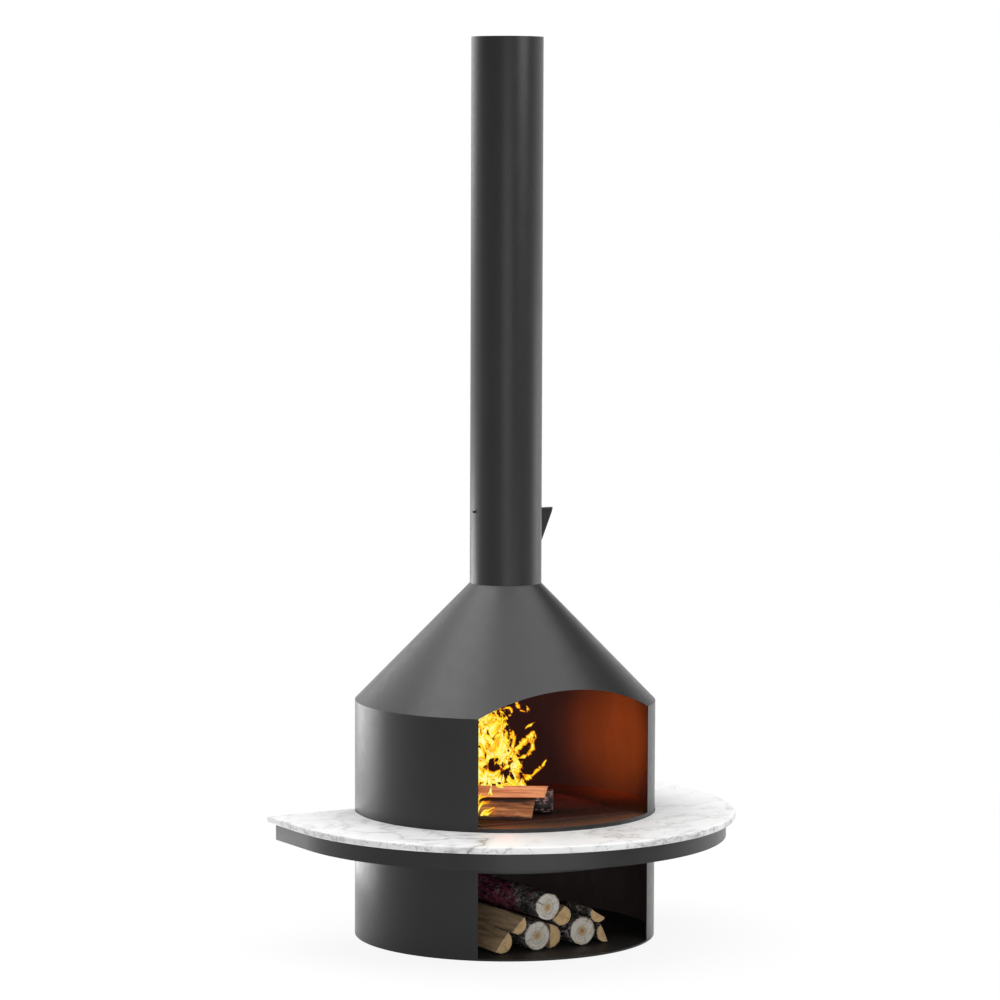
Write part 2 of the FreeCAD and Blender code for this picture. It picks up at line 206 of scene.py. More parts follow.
def outward(tree):
    """1 where a wall of the drum faces away from its axis, and 0 inside."""
    node = tree.nodes.new("ShaderNodeTexCoord")
    radial = add_vector_math(tree, "MULTIPLY", node.outputs["Object"], (1, 1, 0))
    radial = add_vector_math(tree, "NORMALIZE", radial)
    facing = add_vector_math(tree, "DOT_PRODUCT", radial, node.outputs["Normal"])
    return add_math(tree, "GREATER_THAN", facing, INSIDE_FACING)


def stove_paint(name, inside=None):
    """Satin anthracite paint; inside a drum it is matt, between the two tones given: soot in the firebox,
    painted light in the log store.
    """
    material, tree, shader = new_material(name)
    place = coordinates(tree)
    mottle = add_noise(tree, place, 5.0, 7.0, 0.6)
    colour = add_ramp(tree, mottle, ((0.3, (0.0115, 0.0115, 0.0123)), (0.7, (0.0148, 0.0148, 0.0156))))
    sheen = add_noise(tree, place, 38.0, 5.0)
    roughness = add_ramp(tree, sheen, ((0.3, 0.30), (0.7, 0.37)))
    peel = add_noise(tree, place, 520.0, 2.0)
    if inside:
        outside = outward(tree)
        # inner tones: real soot in the firebox; in the log store, lighter reddish tones that are painted
        # light
        soot_and_painted_light_blotch = add_noise(tree, coordinates(tree, (1, 1, 0.5)), 9.0, 8.0, 0.65)
        soot_and_painted_light_colour = add_ramp(tree, soot_and_painted_light_blotch, ((0.3, inside[0]), (0.7, inside[1])))
        colour = add_mix(tree, outside, soot_and_painted_light_colour, colour)
        roughness = add_mix(tree, outside, SOOT_ROUGHNESS, roughness)
    wire(tree, shader.inputs["Base Color"], colour)
    wire(tree, shader.inputs["Roughness"], roughness)
    shader.inputs["Specular IOR Level"].default_value = 0.5
    add_bump(tree, shader, peel, PEEL_DEPTH, 0.5)
    return material


def dull_metal(name, dark, light, rough, scale, metallic=0.0, grain=0.25, heat_tint_and_painted_glow=None):
    """Sheet, cast or blackened metal with blotches and a grain; a tint rises away from the middle: heat
    tint on the grate, painted reflection of the fire along the hearth's front edge.
    """
    material, tree, shader = new_material(name)
    place = coordinates(tree)
    blotch = add_noise(tree, place, scale, 8.0, 0.65)
    colour = add_ramp(tree, blotch, ((0.3, dark), (0.72, light)))
    # a tint away from the middle: painted reflection of the fire on the hearth, heat tint on the grate
    if heat_tint_and_painted_glow:
        tone, start, end = heat_tint_and_painted_glow
        away = add_vector_math(tree, "LENGTH", coordinates(tree, (1, 1, 0)))
        colour = add_mix(tree, add_ramp(tree, away, ((start, 0.0), (end, 1.0))), colour, tone)
    wire(tree, shader.inputs["Base Color"], colour)
    wear = add_noise(tree, place, scale * 6, 5.0)
    wire(tree, shader.inputs["Roughness"], add_ramp(tree, wear, ((0.25, rough - 0.1), (0.75, rough + 0.1))))
    shader.inputs["Metallic"].default_value = metallic
    shader.inputs["Specular IOR Level"].default_value = 0.3
    add_bump(tree, shader, add_noise(tree, place, 420.0, 4.0), grain * MM)
    return material


# Painted shade for the marble's rounded edge, which is darker than the top because it gets less light from
# above
EDGE_SHADE_TONE = (0.84, 0.84, 0.845)


def marble():
    """White marble with faint clouds and grey veins: broad ones towards the left, thin ones elsewhere;
    painted shade darkens the rounded edge, as a darker tone and with more veins.
    """
    material, tree, shader = new_material("marble")
    place = coordinates(tree)
    warp = add_math(tree, "MULTIPLY", add_noise(tree, place, 8.0, 6.0, 0.6), 0.13)
    bend = add_vector_math(tree, "ADD", coordinates(tree, (1.0, 1.5, 2.0)), warp)
    cloud = add_noise(tree, place, 6.0, 5.0)
    tone = add_ramp(tree, cloud, ((0.35, (0.81, 0.81, 0.815)), (0.65, (0.87, 0.87, 0.865))))
    patch = add_ramp(tree, add_noise(tree, place, 3.4, 3.0), ((0.40, 0.15), (0.58, 1.0)))
    calm = add_ramp(tree, add_noise(tree, place, 2.2, 2.0), ((0.44, 0.3), (0.56, 1.0)))
    # The broad veins are strong on the left and weaker towards the right
    across = tree.nodes.new("ShaderNodeSeparateXYZ")
    wire(tree, across.inputs[0], place)
    strong = add_ramp(tree, add_math(tree, "ADD", across.outputs["X"], 0.5), ((0.22, 1.0), (0.62, 0.40)))
    calm = add_mix(tree, 1.0, calm, strong, "MULTIPLY")
    # Painted shade: the steep rounded edge, found by its normal, is darkened below
    side = tree.nodes.new("ShaderNodeSeparateXYZ")
    wire(tree, side.inputs[0], tree.nodes.new("ShaderNodeTexCoord").outputs["Normal"])
    edge = add_ramp(tree, add_math(tree, "ABSOLUTE", side.outputs["Z"]), ((0.45, 1.0), (0.9, 0.0)))
    veins = (
        # scale, distortion, share, stops of the tone away from the vein's middle
        (3.0, 0.5, calm, (
            (0.0, (0.36, 0.345, 0.33)), (0.006, (0.58, 0.57, 0.55)), (0.018, 0.84), (0.065, 1.0))),
        (7.0, 0.6, patch, ((0.0, 0.68), (0.006, 0.85), (0.016, 0.97), (0.04, 1.0))),
        # veins that show only on the rounded edge: a vein pattern that also adds painted shade there
        (11.0, 0.6, edge, ((0.0, 0.54), (0.010, 0.78), (0.03, 0.94), (0.07, 1.0))),
    )
    # painted shade: the rounded edge is darkened as a whole
    tone = add_mix(tree, edge, tone, add_mix(tree, 1.0, tone, EDGE_SHADE_TONE, "MULTIPLY"))
    for scale, distortion, share, stops in veins:
        strand = add_noise(tree, bend, scale, 3.0, 0.5, distortion)
        off = add_math(tree, "ABSOLUTE", add_math(tree, "SUBTRACT", strand, 0.5))
        tone = add_mix(tree, share, tone, add_mix(tree, 1.0, tone, add_ramp(tree, off, stops), "MULTIPLY"))
    wire(tree, shader.inputs["Base Color"], tone)
    polish = add_ramp(tree, add_noise(tree, place, 60.0, 4.0), ((0.3, 0.36), (0.7, 0.46)))
    wire(tree, shader.inputs["Roughness"], polish)
    shader.inputs["Specular IOR Level"].default_value = 0.25
    add_bump(tree, shader, polish, POLISH_DEPTH, 0.3)
    return material


def bark(name, tone, fleck, red=0.0, pale=(0.58, 0.55, 0.52)):
    """Furrowed dark bark with pale flecks, and red towards the far end where it is asked for."""
    material, tree, shader = new_material(name)
    place = own_coordinates(tree, (1, 0.32, 1))
    furrow = add_noise(tree, place, 75.0, 8.0, 0.66)
    tones = ((0.32, 0.012), (0.46, 0.045), (0.58, 0.12), (0.72, 0.25))
    warm = (1.0, 0.86, 0.76)
    colour = add_ramp(tree, furrow, tuple((p, tuple(t * tone * w for w in warm)) for p, t in tones))
    if red:
        far = tree.nodes.new("ShaderNodeSeparateXYZ")
        wire(tree, far.inputs[0], tree.nodes.new("ShaderNodeTexCoord").outputs["Generated"])
        region = add_noise(tree, own_coordinates(tree), 12.0, 4.0)
        region = add_math(tree, "MULTIPLY_ADD", far.outputs["Y"], 0.9, region)
        region = add_ramp(tree, region, ((0.62, 0.0), (0.84, red)))
        maroon = add_ramp(tree, furrow, ((0.38, (0.045, 0.005, 0.016)), (0.64, (0.62, 0.085, 0.21))))
        colour = add_mix(tree, region, colour, maroon)
    spots = add_noise(tree, own_coordinates(tree, (1, 0.55, 1)), 150.0, 5.0, 0.6)
    region = add_noise(tree, own_coordinates(tree), 26.0, 4.0)
    spots = add_math(tree, "ADD", spots, add_math(tree, "MULTIPLY", region, 0.5))
    spots = add_ramp(tree, spots, ((0.79, 0.0), (0.86, fleck)))
    colour = add_mix(tree, spots, colour, pale)
    wire(tree, shader.inputs["Base Color"], colour)
    wire(tree, shader.inputs["Roughness"], add_ramp(tree, furrow, ((0.3, 0.95), (0.7, 0.78))))
    add_bump(tree, shader, furrow, BARK_BUMP)
    return material


def radius_from_pith(tree, scale, uneven):
    """Distance from a log's pith, made uneven by that much."""
    place = tree.nodes.new("ShaderNodeTexCoord").outputs["Object"]
    distance = add_vector_math(tree, "LENGTH", add_vector_math(tree, "MULTIPLY", place, (1, 0, 1)))
    wobble = add_noise(tree, own_coordinates(tree), scale, 5.0, 0.6)
    wobble = add_math(tree, "MULTIPLY", add_math(tree, "SUBTRACT", wobble, 0.5), uneven)
    return add_math(tree, "ADD", distance, wobble)


def sawn_end(name, stops, ring_tone, arcs=None):
    """A sawn end: heart and sapwood by distance from the pith, rings, broken stains, and painted shade in
    the cracks.
    """
    material, tree, shader = new_material(name)
    distance = radius_from_pith(tree, 30.0, RING_WOBBLE)
    wood = add_ramp(tree, add_math(tree, "DIVIDE", distance, SAPWOOD_SPAN), stops)
    if arcs:
        ragged = radius_from_pith(tree, 24.0, STAIN_WOBBLE)
        stain = add_ramp(tree, add_math(tree, "DIVIDE", ragged, SAPWOOD_SPAN), arcs)
        share = add_noise(tree, own_coordinates(tree), 36.0, 3.0)
        share = add_ramp(tree, share, ((0.40, 0.0), (0.56, 1.0)))
        wood = add_mix(tree, share, wood, add_mix(tree, 1.0, wood, stain, "MULTIPLY"))
    rings = add_math(tree, "SINE", add_math(tree, "MULTIPLY", distance, 2 * math.pi / RING_PERIOD))
    rings = add_math(tree, "MULTIPLY_ADD", rings, 0.5, 0.5)
    wood = add_mix(tree, 1.0, wood, add_ramp(tree, rings, ((0.1, ring_tone), (0.75, 1.0))), "MULTIPLY")
    speck = add_noise(tree, own_coordinates(tree, (1, 0.2, 1)), 330.0, 5.0, 0.6)
    wood = add_mix(tree, 1.0, wood, add_ramp(tree, speck, ((0.3, 0.72), (0.65, 1.0))), "MULTIPLY")
    # Painted shade: the cracks are darkened towards near black
    crack_shade = add_attribute(tree, "crack_shade")
    wood = add_mix(tree, crack_shade, wood, CRACK_SHADE_TONE)
    wire(tree, shader.inputs["Base Color"], wood)
    wire(tree, shader.inputs["Roughness"], add_ramp(tree, speck, ((0.3, 0.9), (0.7, 0.75))))
    add_bump(tree, shader, rings, RING_BUMP)
    return material


def split_wood(name, dark, middle, light, glow=0.0, char=0.0):
    """A split face, with fibres that run along the log; a burning one gets a painted glow of firelight, and
    chars at its edges.
    """
    material, tree, shader = new_material(name)
    fibre = add_noise(tree, own_coordinates(tree, (1, 0.045, 1)), 150.0, 7.0, 0.62)
    streak = add_noise(tree, own_coordinates(tree, (1, 0.12, 1)), 38.0, 4.0)
    tone = add_math(tree, "MULTIPLY_ADD", streak, 0.5, add_math(tree, "MULTIPLY", fibre, 0.5))
    colour = add_ramp(tree, tone, ((0.36, dark), (0.48, middle), (0.60, light)))
    if char:
        height = tree.nodes.new("ShaderNodeSeparateXYZ")
        wire(tree, height.inputs[0], tree.nodes.new("ShaderNodeTexCoord").outputs["Generated"])
        ragged = add_noise(tree, own_coordinates(tree, (1, 0.3, 1)), 60.0, 5.0, 0.6)
        off = add_math(tree, "ABSOLUTE", add_math(tree, "SUBTRACT", height.outputs["Z"], 0.5))
        off = add_math(tree, "MULTIPLY_ADD", ragged, 0.30, off)
        burnt = add_ramp(tree, off, ((0.40, 0.0), (0.52, char)))
        colour = add_mix(tree, burnt, colour, CHAR_TONE)
    wire(tree, shader.inputs["Base Color"], colour)
    wire(tree, shader.inputs["Roughness"], add_ramp(tree, fibre, ((0.3, 0.9), (0.7, 0.7))))
    add_bump(tree, shader, fibre, FIBRE_BUMP)
    # painted firelight: the face glows in its own colour, warmed, as if lit by the flames
    if glow:
        wire(tree, shader.inputs["Emission Color"], add_mix(tree, 1.0, colour, PAINTED_FIRELIGHT_TONE, "MULTIPLY"))
        shader.inputs["Emission Strength"].default_value = glow
    return material


FLICKER = 0.18


def flame():
    """Fire: pale yellow where it is hottest, orange and dark red towards its torn edges."""
    material, tree, shader = new_material("flame")
    flicker = add_noise(tree, coordinates(tree, (1, 1, 0.5)), 150.0, 4.0, 0.6, 0.8)
    heat = add_math(tree, "SUBTRACT", add_attribute(tree, "fire_heat"), FLICKER / 2)
    heat = add_math(tree, "MULTIPLY_ADD", flicker, FLICKER, heat)
    colour = add_ramp(tree, heat, (
        (0.0, (0.74, 0.11, 0.005)),
        (0.09, (1.0, 0.24, 0.008)),
        (0.17, (1.0, 0.44, 0.012)),
        (0.28, (1.0, 0.71, 0.022)),
        (0.42, (1.0, 0.88, 0.055)),
        (0.75, (1.0, 0.97, 0.38)),
    ))
    shader.inputs["Base Color"].default_value = (0, 0, 0, 1)
    shader.inputs["Specular IOR Level"].default_value = 0
    wire(tree, shader.inputs["Emission Color"], colour)
    shader.inputs["Emission Strength"].default_value = 1.0
    wire(tree, shader.inputs["Alpha"], add_ramp(tree, heat, ((0.0, 0.0), (0.22, 1.0))))
    return material


PAINT = stove_paint("stove_paint")
SOOTY_PAINT = stove_paint("stove_paint_sooty_inside", ((0.016, 0.0125, 0.0115), (0.032, 0.024, 0.021)))
# Painted light: the log store's inside gets lighter, reddish tones for the light and reflection that reach
# it
STORE_PAINT_LIT_INSIDE = stove_paint("stove_paint_store_inside_painted_light", ((0.082, 0.058, 0.058), (0.130, 0.094, 0.095)))
# The brown-red ring along the hearth plate's front edge is a painted reflection of the fire
HEARTH = dull_metal("hearth_steel", (0.014, 0.012, 0.011), (0.036, 0.029, 0.025), 0.62, 16.0,
                    heat_tint_and_painted_glow=((0.17, 0.070, 0.036), 0.27, 0.40))
STORE_FLOOR = dull_metal("store_floor_steel", (0.024, 0.020, 0.018), (0.052, 0.044, 0.040), 0.58, 14.0)
SHEET_STEEL = dull_metal("sheet_steel", (0.08, 0.08, 0.085), (0.16, 0.16, 0.165), 0.5, 20.0, 0.7)
BOLT_STEEL = dull_metal("bolt_steel", (0.05, 0.05, 0.052), (0.12, 0.12, 0.124), 0.45, 90.0, 0.8, 0.1)
BUSH_METAL = dull_metal("bush_metal", (0.22, 0.15, 0.07), (0.36, 0.26, 0.13), 0.4, 120.0, 0.9, 0.1)
PAD_RUBBER = dull_metal("pad_rubber", (0.02, 0.02, 0.02), (0.05, 0.05, 0.05), 0.8, 60.0)
GRATE_IRON = dull_metal("grate_iron", (0.014, 0.012, 0.011), (0.045, 0.036, 0.031), 0.7, 30.0, grain=0.6,
                        heat_tint_and_painted_glow=((0.085, 0.030, 0.020), 0.12, 0.26))
MARBLE = marble()
BARK = bark("bark", 1.0, 0.85)
MAROON_BARK = bark("maroon_bark", 0.9, 0.6, 0.95)
CHARRED_BARK = bark("charred_bark", 0.45, 0.85, 0.0, (0.55, 0.33, 0.33))
ROUND_END = sawn_end("round_log_end", (
    (0.0, (0.24, 0.13, 0.06)), (0.10, (0.50, 0.33, 0.17)), (0.22, (0.60, 0.44, 0.26)),
    (0.30, (0.70, 0.63, 0.52)), (0.48, (0.72, 0.69, 0.63)), (0.66, (0.73, 0.705, 0.655)),
    (0.74, (0.60, 0.53, 0.44)), (0.82, (0.12, 0.09, 0.07))), 0.84, (
    (0.28, 1.0), (0.36, (0.62, 0.65, 0.67)), (0.42, 1.0),
    (0.50, 1.0), (0.57, (0.84, 0.67, 0.44)), (0.64, 1.0)))
SPLIT_END = sawn_end("split_log_end", (
    (0.0, (0.58, 0.37, 0.17)), (0.35, (0.76, 0.52, 0.255)), (0.55, (0.68, 0.455, 0.225)),
    (0.80, (0.33, 0.22, 0.125))), 0.78)
BURNING_END = sawn_end("burning_log_end", (
    (0.0, (0.16, 0.08, 0.045)), (0.4, (0.12, 0.062, 0.038)), (0.75, (0.04, 0.032, 0.03))), 0.6)
SPLIT_FACE = split_wood("split_wood", (0.18, 0.112, 0.060), (0.50, 0.340, 0.190), (0.74, 0.53, 0.31))
# Scorched and burning faces glow with painted firelight
SCORCHED_FACE = split_wood(
    "scorched_wood", (0.060, 0.024, 0.010), (0.29, 0.120, 0.050), (0.52, 0.26, 0.115), 0.32, 0.95)
BURNING_FACE = split_wood(
    "burning_wood", (0.15, 0.050, 0.024), (0.47, 0.195, 0.092), (0.70, 0.35, 0.18), 0.45)
FLAME = flame()

NODE_MATERIALS = {
    "firebox_shell": SOOTY_PAINT, "hood_cone": SOOTY_PAINT, "flue_tube": SOOTY_PAINT,
    "base_drum": STORE_PAINT_LIT_INSIDE, "base_plate": STORE_FLOOR,
    "hearth_plate": HEARTH, "ash_well": HEARTH, "joining_ring": HEARTH,
    "hearth_bolts": BOLT_STEEL, "damper_screws": BOLT_STEEL, "damper_nuts": BOLT_STEEL,
    "damper_bushes": BUSH_METAL, "flue_collar": SHEET_STEEL, "damper_disc": SHEET_STEEL,
    "ash_pan": SHEET_STEEL, "ash_pan_handle": SHEET_STEEL, "fire_grate": GRATE_IRON,
    "marble_shelf": MARBLE, "marble_pads": PAD_RUBBER,
}


def dress_frame():
    for node, obj in cad.items():
        obj.data.materials.clear()
        obj.data.materials.append(NODE_MATERIALS.get(node, PAINT))


# Logs
LOG_AROUND = 132
LOG_ALONG = 96
CAP_RINGS = 14
END_ROUNDING = 1.6 * MM
# Arcs with a wider gap than this belong to split logs
ROUND_GAP = math.radians(40)
ROUND_ERROR = 0.2 * MM
LEAST_ARC_POINTS = 8
LEAST_SIDE_POINTS = 6
SAW_DEPTH = 0.35 * MM
SAW_SCALES = (120, 480)
END_DISH = 0.6 * MM
CRACK_EDGE = 0.6 * MM
CRACK_DEPTH = 4 * MM
CRACK_SPAN = 40 * MM
# How strongly the cracks take their painted shade
CRACK_SHADE_GAIN = 1.6
SEED_STEP = 3.7
# A log's materials: bark, split faces and sawn ends
BARK_SLOT, FACE_SLOT, END_SLOT = range(3)
# Mean depth of the unevenness in millimetres, and its bumps: scale across and along the log, and height
BARK_MEAN = 1.9
BARK_BUMPS = ((16, 7, 2.2), (150, 38, 1.2), (340, 110, 0.6))
FACE_MEAN = 1.0
FACE_BUMPS = ((22, 6, 1.0), (210, 9, 0.7), (60, 20, 0.5))
ROUGHNESS = {"fire_log_front": 2.4, "fire_log_back": 2.2, "fire_log_top": 2.4, "store_log_round_top": 1.8}
# How far the foot of a burnt end lies behind its top, by the log's height
SLANTS = {"fire_log_top": 0.30, "fire_log_front": 0.14}
SLANT_REACH = 0.08


def log_frame(node):
    """A log's axis, the direction across it, its pith at the front end, its length and its outline."""
    places = np.array([v.co for v in cad[node].data.vertices])
    places = np.unique(np.round(places, 6), axis=0)
    spread = places - places.mean(0)
    axis = np.linalg.svd(spread, full_matrices=False)[2][0]
    axis = axis * np.sign(axis[1])
    far = spread @ axis > 0
    axis = places[far].mean(0) - places[~far].mean(0)
    length = float(np.linalg.norm(axis))
    axis = Vector(axis / length)
    across = axis.cross(UP)
    front = places[~far]
    flat = np.column_stack([front @ np.array(across), front[:, 2]])
    pith, radius, apex = fit_circle(flat)
    origin = across * pith[0] + UP * pith[1] + axis * float((front @ np.array(axis)).mean())
    return axis, across, origin, length, log_outline(flat - pith, radius, apex)


def fit_circle(points):
    """Centre and radius of the bark's arc, and the index of a split log's point, if it has one."""
    def solve(p):
        rows = np.column_stack([2 * p, np.ones(len(p))])
        a, b, c = np.linalg.lstsq(rows, (p ** 2).sum(1), rcond=None)[0]
        return np.array([a, b]), math.sqrt(c + a * a + b * b)
    centre, radius = solve(points)
    error = np.abs(np.linalg.norm(points - centre, axis=1) - radius)
    if error.max() < ROUND_ERROR:
        return centre, radius, None
    apex = int(error.argmax())
    centre, radius = solve(np.delete(points, apex, axis=0))
    return centre, radius, apex


def log_outline(points, radius, apex):
    """Evenly spaced points round a log, each with True where the side after it is bark."""
    arc = points if apex is None else np.delete(points, apex, axis=0)
    angles = np.sort(np.arctan2(arc[:, 1], arc[:, 0]))
    gaps = np.diff(np.append(angles, angles[0] + 2 * math.pi))
    widest = int(gaps.argmax())
    if gaps[widest] < ROUND_GAP:
        turns = np.linspace(0, 2 * math.pi, LOG_AROUND, endpoint=False)
        return [(radius * math.cos(t), radius * math.sin(t), True) for t in turns]
    start = angles[(widest + 1) % len(angles)]
    sweep = 2 * math.pi - gaps[widest]
    corners = [radius * np.array([math.cos(t), math.sin(t)]) for t in (start + sweep, start)]
    if apex is not None:
        corners.insert(1, points[apex])
    runs = [np.linalg.norm(b - a) for a, b in zip(corners, corners[1:])]
    total = radius * sweep + sum(runs)
    count = max(LEAST_ARC_POINTS, round(LOG_AROUND * radius * sweep / total))
    outline = [(radius * math.cos(t), radius * math.sin(t), True)
               for t in np.linspace(start, start + sweep, count, endpoint=False)]
    for a, b, run in zip(corners, corners[1:], runs):
        count = max(LEAST_SIDE_POINTS, round(LOG_AROUND * run / total))
        for share in np.linspace(0, 1, count, endpoint=False):
            x, z = a + (b - a) * share
            outline.append((x, z, False))
    return outline


def unevenness(x, y, z, seed, mean, bumps):
    """A depth in millimetres; the seed moves each size of bump along another axis."""
    depth = mean
    for moved, (across, along, height) in enumerate(bumps):
        place = [x * across, y * along, z * across]
        place[moved] += seed
        depth += height * noise.noise(Vector(place))
    return depth


def bark_depth(x, y, z, seed):
    """How far the bark lies below the log's round."""
    return max(0.0, unevenness(x, y, z, seed, BARK_MEAN, BARK_BUMPS)) * MM


def fibre_depth(x, y, z, seed):
    """How far a split face lies below its flat."""
    return unevenness(x, y, z, seed, FACE_MEAN, FACE_BUMPS) * MM


def make_log(node, body, materials, seed, cracks):
    """A log with furrowed bark, fibrous split faces and sawn ends, in the place of its solid."""
    axis, across, origin, length, outline = log_frame(node)
    rough = ROUGHNESS.get(node, 1.0)
    slant = SLANTS.get(node, 0.0)
    top = max(z for _, z, _ in outline)
    count = len(outline)
    ring = [Vector((x, 0, z)) for x, z, _ in outline]
    centre = sum(ring, Vector()) / count
    normals = []
    for i in range(count):
        side = ring[(i + 1) % count] - ring[i - 1]
        normals.append(Vector((side.z, 0, -side.x)).normalized())
    rows = [0.0, END_ROUNDING, *np.linspace(0, length, LOG_ALONG)[1:-1], length - END_ROUNDING, length]
    verts, faces, kinds, crack_shade_values = [], [], [], []
    for y in rows:
        at_end = y in (0.0, length)
        for point, normal, (_, _, is_bark) in zip(ring, normals, outline):
            depth = bark_depth if is_bark else fibre_depth
            sunk = depth(point.x, y, point.z, seed) * rough + (END_ROUNDING if at_end else 0)
            back = slant * (top - point.z) * max(0.0, 1 - y / SLANT_REACH)
            verts.append(point - normal * sunk + Vector((0, y + back, 0)))
            crack_shade_values.append(0.0)
    for row in range(len(rows) - 1):
        for i in range(count):
            j = (i + 1) % count
            faces.append((row * count + i, (row + 1) * count + i, (row + 1) * count + j, row * count + j))
            kinds.append(BARK_SLOT if outline[i][2] else FACE_SLOT)
    for end, sign in ((0, 1), (len(rows) - 1, -1)):
        add_cap(verts, faces, kinds, crack_shade_values, end * count, count, centre, sign, seed, cracks)
    mesh = bpy.data.meshes.new(node + "_look")
    mesh.from_pydata([tuple(v) for v in verts], [], faces)
    mesh.polygons.foreach_set("material_index", kinds)
    mesh.polygons.foreach_set("use_smooth", [True] * len(faces))
    # The painted shade of the cracks, for each point
    crack_shade = mesh.attributes.new("crack_shade", "FLOAT", "POINT")
    crack_shade.data.foreach_set("value", crack_shade_values)
    for material in materials:
        mesh.materials.append(material)
    log = bpy.data.objects.new(node + "_look", mesh)
    scene.collection.objects.link(log)
    log.matrix_world = Matrix.Translation(origin) @ Matrix((across, axis, UP)).transposed().to_4x4()
    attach(log, body)
    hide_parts(node)


def add_cap(verts, faces, kinds, crack_shade_values, first, count, centre, sign, seed, cracks):
    """Rings that close a log's end; radial cracks run in from the bark, sunk into the end and marked for
    painted shade.
    """
    rim = [Vector(verts[first + i]) for i in range(count)]
    middle = centre + Vector((0, sum(v.y for v in rim) / count, 0))
    previous = list(range(first, first + count))
    for step in range(1, CAP_RINGS):
        share = 1 - step / CAP_RINGS
        current = []
        for edge in rim:
            point = middle + (edge - middle) * share
            mark = Vector((point.x * SAW_SCALES[0] + seed, sign, point.z * SAW_SCALES[1]))
            saw = noise.noise(mark) * SAW_DEPTH
            open_crack = 0.0
            for turn, reach, gape in cracks:
                ray = Vector((math.cos(math.radians(turn)), 0, math.sin(math.radians(turn))))
                out = Vector((point.x, 0, point.z))
                along = out.dot(ray)
                off = (out - ray * along).length
                width = gape * max(0.0, (along - reach) / CRACK_SPAN)
                if along > reach:
                    open_crack = max(open_crack, 1 - off / (width + CRACK_EDGE))
            point.y += sign * (END_DISH + saw + CRACK_DEPTH * open_crack)
            current.append(len(verts))
            verts.append(point)
            # how much painted shade this point of a crack gets
            crack_shade_values.append(min(1.0, CRACK_SHADE_GAIN * open_crack))
        join_rings(faces, kinds, previous, current, sign)
        previous = current
    hub = len(verts)
    verts.append(middle + Vector((0, sign * END_DISH, 0)))
    crack_shade_values.append(0.0)
    for i in range(count):
        j = (i + 1) % count
        faces.append((previous[i], previous[j], hub) if sign > 0 else (previous[j], previous[i], hub))
        kinds.append(END_SLOT)


def join_rings(faces, kinds, outer, inner, sign):
    count = len(outer)
    for i in range(count):
        j = (i + 1) % count
        face = (outer[i], outer[j], inner[j], inner[i])
        faces.append(face if sign > 0 else face[::-1])
        kinds.append(END_SLOT)


ROUND_LOG = (BARK, SPLIT_FACE, ROUND_END)
SPLIT_LOG = (BARK, SPLIT_FACE, SPLIT_END)
# Node, body, slot, materials of bark, split face and end, and cracks: each has its direction in degrees,
# how near the pith it starts and how wide it opens
LOGS = (
    ("store_log_round_left", "hearth", "round_log", ROUND_LOG,
     ((52, 8 * MM, 1.2 * MM), (200, 16 * MM, 0.7 * MM))),
    ("store_log_round_right", "hearth", "round_log", ROUND_LOG,
     ((60, 14 * MM, 0.9 * MM), (290, 18 * MM, 0.6 * MM))),
    ("store_log_round_top", "hearth", "round_log", (MAROON_BARK, SPLIT_FACE, ROUND_END),
     ((152, 10 * MM, 2.4 * MM), (20, 20 * MM, 0.6 * MM))),
    ("store_log_split_left", "hearth", "split_log", SPLIT_LOG, ((300, 14 * MM, 0.8 * MM),)),
    ("store_log_split_middle", "hearth", "split_log", SPLIT_LOG, ()),
    ("store_log_split_right", "hearth", "split_log", SPLIT_LOG, ()),
    ("store_log_upper_left", "hearth", "split_log", SPLIT_LOG, ()),
    ("store_log_upper_middle", "hearth", "split_log", SPLIT_LOG, ((330, 10 * MM, 0.6 * MM),)),
    ("store_log_upper_right", "hearth", "split_log", SPLIT_LOG, ()),
    ("fire_log_front", "grate", "burning_log", (SCORCHED_FACE, SCORCHED_FACE, BURNING_END), ()),
    ("fire_log_back", "grate", "burning_log", (CHARRED_BARK, SCORCHED_FACE, BURNING_END),
     ((75, 9 * MM, 1 * MM),)),
    ("fire_log_top", "grate", "burning_log", (BURNING_FACE, BURNING_FACE, BURNING_END), ()),
)


def make_logs():
    for seed, (node, body, slot, materials, cracks) in enumerate(LOGS):
        make_log(node, body, materials, SEED_STEP * seed, cracks)


# Flames: lens-shaped sheets along the burning logs, cut and curled by a turbulent field
FLAME_STEP = 1.8 * MM
FLAME_FOOT = 0.427
FLAME_START = -0.02
FLAME_LENGTH = 0.26
FLAME_MARGIN = 0.03
FLAME_THICKNESS = 5 * MM
FULL_HEAT = 0.5
THICKNESS_POWER = 0.7
LEAST_HEAT = 0.03
RIM_HEAT = -0.01
LEAST_SLOPE = 1e-9
# How far a sheet of fire sways across the logs, and the width and height of its waves
SHEET_SWAY = 0.014
SHEET_WAVES = (0.07, 0.10)
SWAY_SEED = 50
LATTICE = 64
NOISE_GAIN = 1.5
OCTAVE_SHIFT = 5.3
LIFT_SHIFT = 9
FILL_SLOPE = 0.13
FILL_RANGE = (-0.8, 1.0)
# How high the fire reaches, by the distance from the logs' right end
ENVELOPE = (
    (-0.02, -0.03), (0.02, -0.01), (0.045, 0.012), (0.064, 0.060), (0.080, 0.135), (0.100, 0.210),
    (0.120, 0.245), (0.140, 0.280), (0.165, 0.33), (0.50, 0.34))
LOW_ENVELOPE = ((0.0, -0.12), (0.110, -0.11), (0.130, -0.04), (0.150, 0.03), (0.180, 0.075), (0.50, 0.10))
